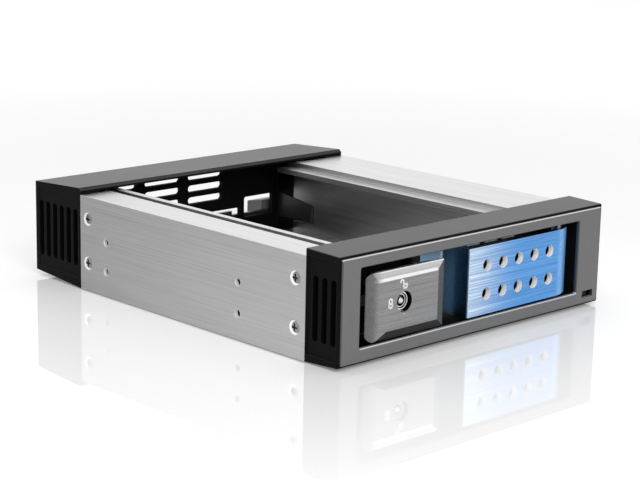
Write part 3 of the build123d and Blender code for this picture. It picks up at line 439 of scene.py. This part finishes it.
def mouldedPlastic(name, base, grain, rough, gloss=0.5, edge=0.0003, paleEdge=0.25):
    finish = Finish(name)
    skin = finish.noise(finish.place(), grain, 3.0, 0.6)
    cloud = finish.noise(finish.place(), 30.0, 2.0, 0.5)
    normal, rim = finish.edges(edge)
    color = finish.mix(skin * 0.5 + cloud * 0.3, base, tint(base, 1.5, 0.004))
    color = finish.mix(rim * paleEdge, color, tint(base, 2.5, 0.03))
    roughness = skin * 0.12 + cloud * 0.08 + (rough - 0.1)
    bumped = finish.bump(skin, 0.22, 0.00008, normal)
    return finish.paint(color=color, rough=roughness, normal=bumped, gloss=gloss)


backingSettings = {
    "base": rgb(0.006, 0.006, 0.006),
    "slot": rgb(0.90, 0.90, 0.90),
    "slotLow": 0.03175,
    "slotHigh": 0.03285,
    "slotFade": 0.0002,
}


def backingFinish():
    s = backingSettings
    finish = Finish("backingBlack")
    z = finish.axes()[2]
    ny = finish.axes("Normal")[1]
    skin = finish.noise(finish.place(), 2200.0, 3.0, 0.6)
    normal, rim = finish.edges(0.0002)
    color = finish.mix(skin * 0.5 + rim * 0.2, s["base"], tint(s["base"], 3.0, 0.004))
    # painted light: the slot floors are painted near white, as lit
    inSlot = 1.0 - abs(ny).between(0.4, 0.7)
    inSlot = inSlot * z.between(s["slotLow"] - s["slotFade"], s["slotLow"])
    inSlot = inSlot * (1.0 - z.between(s["slotHigh"], s["slotHigh"] + s["slotFade"]))
    color = finish.mix(inSlot, color, s["slot"])
    return finish.paint(color=color, rough=skin * 0.12 + 0.45, gloss=0.2,
                        normal=finish.bump(skin, 0.2, 0.00008, normal))


def platedSteel(name, base, rough, deepShade=None):
    # deepShade darkens what faces away from the front, such as a groove's walls
    finish = Finish(name)
    pit = finish.noise(finish.place(), 1800.0, 2.0, 0.6)
    cloud = finish.noise(finish.place(), 260.0, 2.0, 0.5)
    normal, rim = finish.edges(0.00015)
    color = finish.mix(cloud, tint(base, 0.78), base)
    if deepShade is not None:
        ny = finish.axes("Normal")[1]
        color = finish.mix(1.0 - (ny * -1.0).between(0.3, 0.8), color, deepShade)
    color = finish.mix(rim * 0.4, color, tint(base, 1.3))
    roughness = pit * 0.10 + cloud * 0.08 + (rough - 0.09)
    bumped = finish.bump(pit, 0.08, 0.00003, normal)
    return finish.paint(color=color, rough=roughness, metal=1.0, normal=bumped)


screwSettings = {
    "face": rgb(0.26, 0.26, 0.262),
    "rim": rgb(0.97, 0.97, 0.97),
    "cross": rgb(0.006, 0.006, 0.006),
    "spots": ((-0.0677, 0.0114), (-0.0677, 0.0295), (0.0541, 0.0114), (0.0541, 0.0295)),  # Y, Z
    "headFace": (0.07285, 0.07297),   # X, left or right, where the head ends and the cross begins
    "rimFrom": 0.0020,
    "rimTo": 0.0025,
    "rimShift": 0.0009,
}


def screwFinish():
    s = screwSettings
    finish = Finish("screwSteel")
    x, y, z = finish.axes()
    cloud = finish.noise(finish.place(), 1500.0, 3.0, 0.6)
    normal = finish.edges(0.0002)[0]
    # painted highlight: a near-white ring, shifted off each head's middle, stands for the glint on the
    # head's edge
    away = None
    for screwY, screwZ in s["spots"]:
        one = apart(y - (screwY - s["rimShift"]), z - (screwZ + s["rimShift"] * 0.4))
        away = one if away is None else away.atMost(one)
    color = finish.mix(cloud, tint(s["face"], 0.8), tint(s["face"], 1.15))
    color = finish.mix(away.between(s["rimFrom"], s["rimTo"]), color, s["rim"])
    # painted shade: the cross recess is painted near black
    deep = 1.0 - abs(x).between(*s["headFace"])
    color = finish.mix(deep, color, s["cross"])
    bumped = finish.bump(cloud, 0.1, 0.00004, normal)
    return finish.paint(color=color, rough=cloud * 0.12 + 0.22, metal=1.0 - deep, normal=bumped)


bezelSettings = {
    "base": rgb(0.150, 0.150, 0.153),
    "light": rgb(0.235, 0.235, 0.239),
    "edge": rgb(0.66, 0.66, 0.67),
    "side": rgb(0.10, 0.10, 0.10),
    "slantTilt": (0.80, 0.97),
    "edgeTilt": (0.2, 0.5),
    "grain": 2600.0,
    "rough": 0.42,
}


def bezelFinish():
    s = bezelSettings
    finish = Finish("bezelGrey")
    nx, ny, nz = finish.axes("Normal")
    grain = finish.noise(finish.place(), s["grain"], 4.0, 0.8)
    cloud = finish.noise(finish.place(), 40.0, 2.0, 0.5)
    normal = finish.edges(0.00018)[0]
    speckle = ((grain * 0.85 + cloud * 0.15 - 0.5) * 1.8 + 0.5).clamped()
    color = finish.mix(speckle, s["base"], s["light"])
    # painted highlight and shade: edges facing up or right are painted bright, other faces turned from
    # the front darker
    slant = 1.0 - (ny * -1.0).between(*s["slantTilt"])
    color = finish.mix(slant, color, s["side"])
    shining = nz.between(*s["edgeTilt"]).atLeast(nx.between(*s["edgeTilt"]) * 0.7)
    color = finish.mix(slant * shining, color, s["edge"])
    roughness = grain * 0.14 + (s["rough"] - 0.07)
    bumped = finish.bump(grain, 0.3, 0.00007, normal)
    return finish.paint(color=color, rough=roughness, metal=0.75, normal=bumped)


boardSettings = {
    "mask": rgb(0.008, 0.011, 0.012),
    "track": rgb(0.026, 0.034, 0.034),
    "edge": rgb(0.20, 0.18, 0.11),
}


def boardFinish():
    s = boardSettings
    finish = Finish("boardMask")
    weave = finish.noise(finish.place(), 900.0, 2.0, 0.5)
    tracks = finish.node("ShaderNodeTexBrick", {"offset": 0.5, "squash": 1.0}, {
        "Vector": finish.place(turn=(math.pi / 2, 0, 0)), "Scale": 260.0, "Mortar Size": 0.06,
        "Color1": rgb(0.0, 0.0, 0.0), "Color2": rgb(0.35, 0.35, 0.35), "Mortar": rgb(1, 1, 1)})
    normal, rim = finish.edges(0.0002)
    track = Wire(finish, tracks.outputs["Fac"])
    color = finish.mix(track * 0.6 + weave * 0.3, s["mask"], s["track"])
    color = finish.mix(rim * 0.6, color, s["edge"])
    bumped = finish.bump(track, 0.3, 0.00005, normal)
    return finish.paint(color=color, rough=weave * 0.1 + 0.22, normal=bumped, coat=0.4, coatRough=0.12)


def darkPipe():
    # the light pipe is painted near black
    finish = Finish("darkPipe")
    haze = finish.noise(finish.place(), 700.0, 2.0, 0.5)
    normal, rim = finish.edges(0.0002)
    color = finish.mix(haze, rgb(0.020, 0.022, 0.023), rgb(0.065, 0.068, 0.070))
    color = finish.mix(rim * 0.4, color, rgb(0.25, 0.26, 0.27))
    bumped = finish.bump(haze, 0.1, 0.00004, normal)
    return finish.paint(color=color, rough=haze * 0.2 + 0.16, normal=bumped, coat=0.35, coatRough=0.1)


def softRubber():
    finish = Finish("softRubber")
    grain = finish.noise(finish.place(), 2400.0, 3.0, 0.6)
    normal = finish.edges(0.0003)[0]
    color = finish.mix(grain, rgb(0.012, 0.012, 0.012), rgb(0.035, 0.035, 0.035))
    return finish.paint(color=color, rough=grain * 0.15 + 0.62,
                        normal=finish.bump(grain, 0.4, 0.00006, normal))


def printedWhite():
    finish = Finish("printedWhite")
    ink = finish.noise(finish.place(), 5200.0, 3.0, 0.7)
    color = finish.mix(ink, rgb(0.78, 0.78, 0.78), rgb(0.97, 0.97, 0.97))
    return finish.paint(color=color, rough=ink * 0.2 + 0.45, normal=finish.bump(ink, 0.2, 0.00003))


print("stage: finishes")
leftRailMetal = railFinish("leftRailMetal", -1)
rightRailMetal = railFinish("rightRailMetal", 1)
leverMetal = leverFinish()
blueMetal = blueFinish()
mouldingBlack = mouldingFinish()
backingBlack = backingFinish()
blackPlastic = mouldedPlastic("blackPlastic", rgb(0.007, 0.007, 0.0075), 2600.0, 0.45, gloss=0.2)
connectorBlack = mouldedPlastic("connectorBlack", rgb(0.010, 0.010, 0.011), 1500.0, 0.36, gloss=0.4)
# painted shade: the power plug is painted dark grey, as it looks in its shade
plugShadeGrey = mouldedPlastic("plugShadeGrey", rgb(0.105, 0.105, 0.105), 1500.0, 0.42, paleEdge=0.1)
lampPlastic = mouldedPlastic("lampPlastic", rgb(0.55, 0.56, 0.55), 1200.0, 0.25, paleEdge=0.1)
brightSteel = platedSteel("brightSteel", rgb(0.78, 0.78, 0.79), 0.20)
lockChrome = platedSteel("lockChrome", rgb(0.95, 0.95, 0.95), 0.16, rgb(0.03, 0.03, 0.03))
collarChrome = platedSteel("collarChrome", rgb(0.97, 0.97, 0.97), 0.14, rgb(0.30, 0.30, 0.30))
springSteel = platedSteel("springSteel", rgb(0.50, 0.50, 0.51), 0.30)
goldPlate = platedSteel("goldPlate", rgb(0.83, 0.62, 0.24), 0.22)
screwSteel = screwFinish()
bezelGrey = bezelFinish()
boardBlack = boardFinish()
pipeDark = darkPipe()
rubberBlack = softRubber()
iconWhite = printedWhite()

nodeFinish = {
    "left_rail": leftRailMetal, "right_rail": rightRailMetal, "front_frame": mouldingBlack,
    "bezel_plate": bezelGrey, "light_pipe": pipeDark, "indicator_board": boardBlack,
    "indicator_lamp": lampPlastic, "rear_housing": mouldingBlack, "guide_arm": connectorBlack,
    "corner_screws": screwSteel, "door_handle": blueMetal, "door_backing": backingBlack,
    "door_carrier": blackPlastic, "door_screws": brightSteel, "door_hinge_pin": brightSteel,
    "drive_bumpers": rubberBlack, "latch_lever": leverMetal, "lever_pin": brightSteel,
    "lever_spring": springSteel, "lock_barrel": lockChrome, "lock_nut": brightSteel,
    "lock_plug": lockChrome, "lock_cam": brightSteel, "lock_bolt": springSteel,
    "backplane_board": boardBlack, "board_screws": brightSteel, "drive_connector": connectorBlack,
    "host_power_plug": plugShadeGrey, "host_data_plug": connectorBlack,
}
for name, material in nodeFinish.items():
    piece = nodes[name]
    if not piece.material_slots:
        piece.data.materials.append(material)
    for holder in piece.material_slots:
        holder.material = material

print("stage: added pieces")


def pick(piece, test, kind="FACE"):
    # selects the parts of a mesh in edit mode that pass a test
    bpy.ops.mesh.select_mode(type=kind)
    bpy.ops.mesh.select_all(action="DESELECT")
    mesh = bmesh.from_edit_mesh(piece.data)
    for item in {"VERT": mesh.verts, "EDGE": mesh.edges, "FACE": mesh.faces}[kind]:
        item.select_set(bool(test(item)))
    mesh.select_flush_mode()
    bmesh.update_edit_mesh(piece.data)


def beginEdit(piece):
    # puts the object's place into its mesh and opens the mesh
    clearSelection()
    piece.select_set(True)
    bpy.context.view_layer.objects.active = piece
    bpy.ops.object.transform_apply(location=True, rotation=True, scale=True)
    bpy.ops.object.mode_set(mode="EDIT")


def endEdit():
    bpy.ops.mesh.select_all(action="SELECT")
    bpy.ops.mesh.remove_doubles(threshold=0.000001)
    bpy.ops.mesh.normals_make_consistent(inside=False)
    bpy.ops.object.mode_set(mode="OBJECT")


def copyOf(piece, move):
    made = piece.copy()
    made.data = piece.data.copy()
    scene.collection.objects.link(made)
    for corner in made.data.vertices:
        corner.co += Vector(move)
    return made


def joined(pieces):
    clearSelection()
    for piece in pieces:
        piece.select_set(True)
    bpy.context.view_layer.objects.active = pieces[0]
    bpy.ops.object.join()
    return bpy.context.object


def dress(piece, name, material, body):
    clearSelection()
    piece.select_set(True)
    bpy.context.view_layer.objects.active = piece
    bpy.ops.object.shade_smooth_by_angle(angle=math.radians(35))
    piece.name = name
    piece.data.materials.clear()
    piece.data.materials.append(material)
    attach(piece, body)
    clearSelection()
    return piece


def rodAlongY(place, radius, front, back, sides=48):
    bpy.ops.mesh.primitive_cylinder_add(
        vertices=sides, radius=radius, depth=back - front,
        location=(place[0], (front + back) / 2, place[1]), rotation=(math.radians(90), 0, 0))
    return bpy.context.object


lockSettings = {
    "place": (-0.0405, 0.0201),    # X and Z of the lock's middle
    "collarRadius": 0.00372,
    "collarWall": 0.00095,
    "collarFront": -0.08868,       # Y of the collar's face
    "collarBack": -0.0872,
    "postRadius": 0.00115,
    "postFront": -0.08835,
    "wallRadius": 0.0026,
    "wallThick": 0.0005,
    "wallFront": -0.0882,
    "faceBack": -0.0870,
    "pinRadius": 0.00026,
    "pinCircle": 0.00165,
    "pinCount": 7,
    "pinFront": -0.0867,
    "pinBack": -0.0848,
}


def lockRing(radius, wall, front, back, edge):
    piece = rodAlongY(lockSettings["place"], radius, front, back, 64)
    beginEdit(piece)
    pick(piece, lambda face: abs(face.normal.y) > 0.9)
    bpy.ops.mesh.inset(thickness=wall, use_individual=True)
    bpy.ops.mesh.bridge_edge_loops()
    pick(piece, lambda line: line.is_manifold and line.calc_face_angle(0) > 1.2
         and sum(corner.co.y for corner in line.verts) / 2 < front + 0.00001, "EDGE")
    bpy.ops.mesh.bevel(offset=edge, segments=3, affect="EDGES")
    endEdit()
    return piece


def lockCollar():
    s = lockSettings
    ring = lockRing(s["collarRadius"], s["collarWall"], s["collarFront"], s["collarBack"], 0.00022)
    return dress(ring, "lock_collar", collarChrome, "latch")


def lockFace():
    # the post and the thin wall that the round key slides between, and the pins round the post
    s = lockSettings
    post = rodAlongY(s["place"], s["postRadius"], s["postFront"], s["faceBack"])
    beginEdit(post)
    pick(post, lambda face: face.normal.y < -0.9)
    bpy.ops.mesh.inset(thickness=0.0003)
    bpy.ops.transform.translate(value=(0, -0.00022, 0))
    bpy.ops.mesh.inset(thickness=0.00035)
    bpy.ops.transform.translate(value=(0, 0.00035, 0))
    endEdit()
    wall = lockRing(s["wallRadius"], s["wallThick"], s["wallFront"], s["faceBack"], 0.00012)
    first = rodAlongY((s["place"][0], s["place"][1] + s["pinCircle"]), s["pinRadius"],
                      s["pinFront"], s["pinBack"], 16)
    beginEdit(first)
    pick(first, lambda face: face.normal.y < -0.9)
    bpy.ops.mesh.inset(thickness=0.00008)
    bpy.ops.transform.translate(value=(0, -0.00008, 0))
    endEdit()
    pins = [first]
    for i in range(1, s["pinCount"]):
        turn = 2 * math.pi * i / s["pinCount"]
        aside, rise = math.sin(turn), math.cos(turn) - 1
        pins.append(copyOf(first, (aside * s["pinCircle"], 0, rise * s["pinCircle"])))
    return dress(joined([post, wall] + pins), "lock_face", collarChrome, "key_core")


iconSettings = {
    "front": -0.09014,
    "back": -0.09004,
    "closedPlace": (-0.0475, 0.0196),   # X and Z of the body's middle
    "openPlace": (-0.0402, 0.0258),
    "width": 0.0024,
    "height": 0.0020,
    "hoop": 0.00075,
    "hoopWire": 0.00034,
    "leg": 0.0007,
    "openShift": -0.0017,
}


def padlock(name, place, hoopShift):
    # a printed padlock: a body with a keyhole and a hoop above it
    s = iconSettings
    middle = (s["front"] + s["back"]) / 2
    bpy.ops.mesh.primitive_cube_add(size=1, location=(place[0], middle, place[1]))
    body = bpy.context.object
    body.scale = (s["width"], s["back"] - s["front"], s["height"])
    beginEdit(body)
    pick(body, lambda line: abs(line.verts[0].co.y - line.verts[1].co.y) > 0.00005, "EDGE")
    bpy.ops.mesh.bevel(offset=0.00025, segments=3, affect="EDGES")
    pick(body, lambda face: face.normal.y < -0.9)
    bpy.ops.mesh.inset(thickness=0.00068)
    bpy.ops.mesh.inset(thickness=0.00006)
    bpy.ops.transform.translate(value=(0, 0.00008, 0))
    endEdit()
    top = place[1] + s["height"] / 2
    hoopX = place[0] + hoopShift
    bpy.ops.mesh.primitive_torus_add(
        major_radius=s["hoop"], minor_radius=s["hoopWire"], major_segments=32, minor_segments=8,
        location=(hoopX, middle, top + s["leg"]), rotation=(math.radians(90), 0, 0))
    hoop = bpy.context.object
    beginEdit(hoop)
    bpy.ops.mesh.select_all(action="SELECT")
    bpy.ops.mesh.bisect(plane_co=(hoopX, middle, top + s["leg"]), plane_no=(0, 0, 1), clear_inner=True)
    pick(hoop, lambda line: line.is_boundary and (hoopShift == 0 or line.verts[0].co.x > hoopX), "EDGE")
    bpy.ops.mesh.extrude_edges_move(TRANSFORM_OT_translate={"value": (0, 0, -s["leg"] - 0.0002)})
    if hoopShift:
        pick(hoop, lambda line: line.is_boundary and line.verts[0].co.x < hoopX, "EDGE")
        bpy.ops.mesh.extrude_edges_move(TRANSFORM_OT_translate={"value": (0, 0, -s["leg"] * 0.3)})
    pick(hoop, lambda line: line.is_boundary, "EDGE")
    bpy.ops.mesh.fill_holes(sides=0)
    bpy.ops.mesh.select_all(action="SELECT")
    bpy.ops.transform.resize(value=(1, 0.12, 1), center_override=(hoopX, middle, top))
    endEdit()
    return dress(joined([body, hoop]), name, iconWhite, "latch")


contactSettings = {
    "pitch": 0.00127,
    "width": 0.00072,
    "thick": 0.00022,
    "driveRows": ((0.0052, 7), (-0.0186, 15)),   # X of the first blade and how many
    "driveFront": 0.0702,
    "driveBack": 0.0755,
    "driveTop": 0.01066,
    "hostFirst": 0.00249,
    "hostCount": 7,
    "hostFront": 0.0812,
    "hostBack": 0.0866,
    "hostTop": 0.01180,
}


def contactRow(first, count, front, back, top, tip):
    # one blade with a bent tip, at its -Y or +Y end, copied along the row
    s = contactSettings
    bpy.ops.mesh.primitive_cube_add(size=1, location=(first, (front + back) / 2, top - s["thick"] / 2))
    blade = bpy.context.object
    blade.scale = (s["width"], back - front, s["thick"])
    beginEdit(blade)
    pick(blade, lambda face: face.normal.y * tip > 0.9)
    bpy.ops.mesh.extrude_region_move(TRANSFORM_OT_translate={"value": (0, tip * 0.0004, -0.00012)})
    pick(blade, lambda line: abs(line.verts[0].co.y - line.verts[1].co.y) > 0.001
         and (line.verts[0].co.z + line.verts[1].co.z) / 2 > top - s["thick"] / 2, "EDGE")
    bpy.ops.mesh.bevel(offset=0.00006, segments=2, affect="EDGES")
    endEdit()
    return [blade] + [copyOf(blade, (s["pitch"] * i, 0, 0)) for i in range(1, count)]


def goldContacts():
    s = contactSettings
    blades = []
    for first, count in s["driveRows"]:
        blades += contactRow(first, count, s["driveFront"], s["driveBack"], s["driveTop"], -1)
    dress(joined(blades), "drive_contacts", goldPlate, "cage")
    blades = contactRow(s["hostFirst"], s["hostCount"], s["hostFront"], s["hostBack"], s["hostTop"], 1)
    dress(joined(blades), "host_contacts", goldPlate, "cage")


boardPartSettings = {
    "face": 0.0796,                       # Y of the board's back face
    "chipPlace": (0.0250, 0.0098),        # X and Z
    "chipSize": (0.0060, 0.0016, 0.0040),
    "legCount": 4,
    "legPitch": 0.00127,
    "legSize": (0.0004, 0.0005, 0.0009),
    "smallPlaces": ((-0.0180, 0.0088), (-0.0180, 0.0120), (-0.0130, 0.0088), (-0.0130, 0.0120),
                    (0.0185, 0.0075), (0.0185, 0.0110), (0.0320, 0.0118), (-0.0360, 0.0090)),
    "smallSize": (0.0020, 0.0006, 0.00125),
    "drumPlaces": ((-0.0075, 0.0100), (-0.0400, 0.0105)),
    "drumRadius": 0.0022,
    "drumHigh": 0.0052,
}


def boxOnBoard(place, size, edge):
    s = boardPartSettings
    bpy.ops.mesh.primitive_cube_add(size=1, location=(place[0], s["face"] + size[1] / 2, place[1]))
    piece = bpy.context.object
    piece.scale = size
    beginEdit(piece)
    pick(piece, lambda face: face.normal.y > 0.9)
    bpy.ops.mesh.inset(thickness=edge)
    bpy.ops.transform.translate(value=(0, edge * 0.6, 0))
    endEdit()
    return piece


def boardParts():
    s = boardPartSettings
    chip = boxOnBoard(s["chipPlace"], s["chipSize"], 0.0003)
    dress(chip, "driver_chip", connectorBlack, "cage")
    legs = []
    for side in (-1, 1):
        for i in range(s["legCount"]):
            x = s["chipPlace"][0] + (i - (s["legCount"] - 1) / 2) * s["legPitch"]
            z = s["chipPlace"][1] + side * (s["chipSize"][2] / 2 + 0.0004)
            legs.append(boxOnBoard((x, z), s["legSize"], 0.00008))
    for x, z in s["smallPlaces"]:
        for side in (-1, 1):
            shift = side * (s["smallSize"][0] / 2 + 0.00018)
            cap = (s["legSize"][0], s["smallSize"][1], s["smallSize"][2])
            legs.append(boxOnBoard((x + shift, z), cap, 0.00006))
    dress(joined(legs), "board_solder", brightSteel, "cage")
    small = [boxOnBoard(place, s["smallSize"], 0.0001) for place in s["smallPlaces"]]
    dress(joined(small), "board_resistors", connectorBlack, "cage")
    drums = []
    for place in s["drumPlaces"]:
        drum = rodAlongY(place, s["drumRadius"], s["face"], s["face"] + s["drumHigh"], 40)
        beginEdit(drum)
        pick(drum, lambda face: face.normal.y > 0.9)
        bpy.ops.mesh.inset(thickness=0.00025)
        bpy.ops.transform.translate(value=(0, 0.0002, 0))
        bpy.ops.mesh.inset(thickness=0.00035)
        bpy.ops.transform.translate(value=(0, -0.00015, 0))
        endEdit()
        drums.append(drum)
    dress(joined(drums), "board_capacitors", brightSteel, "cage")


lockCollar()
lockFace()
padlock("padlock_closed", iconSettings["closedPlace"], 0)
padlock("padlock_open", iconSettings["openPlace"], iconSettings["openShift"])
goldContacts()
boardParts()

print("stage: studio")


def studioFloor():
    # white floor with a clear mirror image that fades away from the object
    s = studioSettings
    bpy.ops.mesh.primitive_plane_add(size=8.0, location=(0, 0, -0.0004))
    floor = bpy.context.object
    floor.name = "studioFloor"
    finish = Finish("floorGloss")
    x, y, _ = finish.axes()
    grain = finish.noise(finish.place(), 600.0, 2.0, 0.5)
    color = finish.mix(grain, tint(s["floorColor"], 0.995), s["floorColor"])
    finish.paint(color=color, rough=0.6, gloss=0.0)
    away = apart(*[(abs(place) - half).atLeast(0.0) for place, half in zip((x, y), s["footprint"])])
    mirror = finish.node("ShaderNodeBsdfGlossy", {}, {
        "Color": rgb(1, 1, 1), "Roughness": s["mirrorRough"]})
    blend = finish.node("ShaderNodeMixShader", {}, {
        0: (1.0 - away.between(0.0, s["mirrorReach"])) * s["mirror"],
        1: finish.shader.outputs[0], 2: mirror.outputs[0]})
    rays = finish.node("ShaderNodeLightPath")
    brightness = away.between(*s["farReach"]) * s["farLift"] + s["lift"]
    lift = finish.node("ShaderNodeEmission", {}, {
        "Color": rgb(1, 1, 1), "Strength": Wire(finish, rays.outputs["Is Camera Ray"]) * brightness})
    both = finish.node("ShaderNodeAddShader", {}, {0: blend.outputs[0], 1: lift.outputs[0]})
    finish.tree.links.new(both.outputs[0], finish.output.inputs["Surface"])
    floor.data.materials.append(finish.material)


def softBox(name, place, width, height, power, mirrored):
    # a lamp aimed at the origin
    bpy.ops.object.light_add(type="AREA", location=place)
    lamp = bpy.context.object
    lamp.name = name
    lamp.data.shape = "RECTANGLE"
    lamp.data.size = width
    lamp.data.size_y = height
    lamp.data.energy = power
    lamp.rotation_euler = (-Vector(place)).to_track_quat("-Z", "Y").to_euler()
    lamp.visible_glossy = mirrored


def studioWorld():
    world = bpy.data.worlds.new("studioWorld")
    scene.world = world
    world.use_nodes = True
    tree = world.node_tree
    tree.nodes.clear()
    output = tree.nodes.new("ShaderNodeOutputWorld")
    seen = tree.nodes.new("ShaderNodeBackground")
    light = tree.nodes.new("ShaderNodeBackground")
    blend = tree.nodes.new("ShaderNodeMixShader")
    rays = tree.nodes.new("ShaderNodeLightPath")
    both = tree.nodes.new("ShaderNodeMath")
    all3 = tree.nodes.new("ShaderNodeMath")
    both.operation = all3.operation = "MAXIMUM"
    tree.links.new(rays.outputs["Is Camera Ray"], both.inputs[0])
    tree.links.new(rays.outputs["Is Glossy Ray"], both.inputs[1])
    tree.links.new(both.outputs[0], all3.inputs[0])
    tree.links.new(rays.outputs["Is Transmission Ray"], all3.inputs[1])
    tree.links.new(all3.outputs[0], blend.inputs[0])
    tree.links.new(light.outputs[0], blend.inputs[1])
    tree.links.new(seen.outputs[0], blend.inputs[2])
    tree.links.new(blend.outputs[0], output.inputs[0])
    seen.inputs["Color"].default_value = (1, 1, 1, 1)
    seen.inputs["Strength"].default_value = 1.0
    light.inputs["Color"].default_value = (1, 1, 1, 1)
    light.inputs["Strength"].default_value = studioSettings["ambient"]


def studioCamera():
    s = viewSettings
    bpy.ops.object.camera_add(location=s["place"], rotation=tuple(math.radians(a) for a in s["turn"]))
    camera = bpy.context.object
    camera.name = "studioCamera"
    camera.data.lens = s["lens"]
    camera.data.sensor_width = s["sensor"]
    camera.data.sensor_fit = "HORIZONTAL"
    camera.data.clip_start = 0.01
    camera.data.clip_end = 50.0
    scene.camera = camera


studioFloor()
for name, values in studioSettings["lamps"].items():
    softBox(name, *values)
studioWorld()
studioCamera()
scene.view_settings.view_transform = "Standard"

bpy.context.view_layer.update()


print("stage: done")
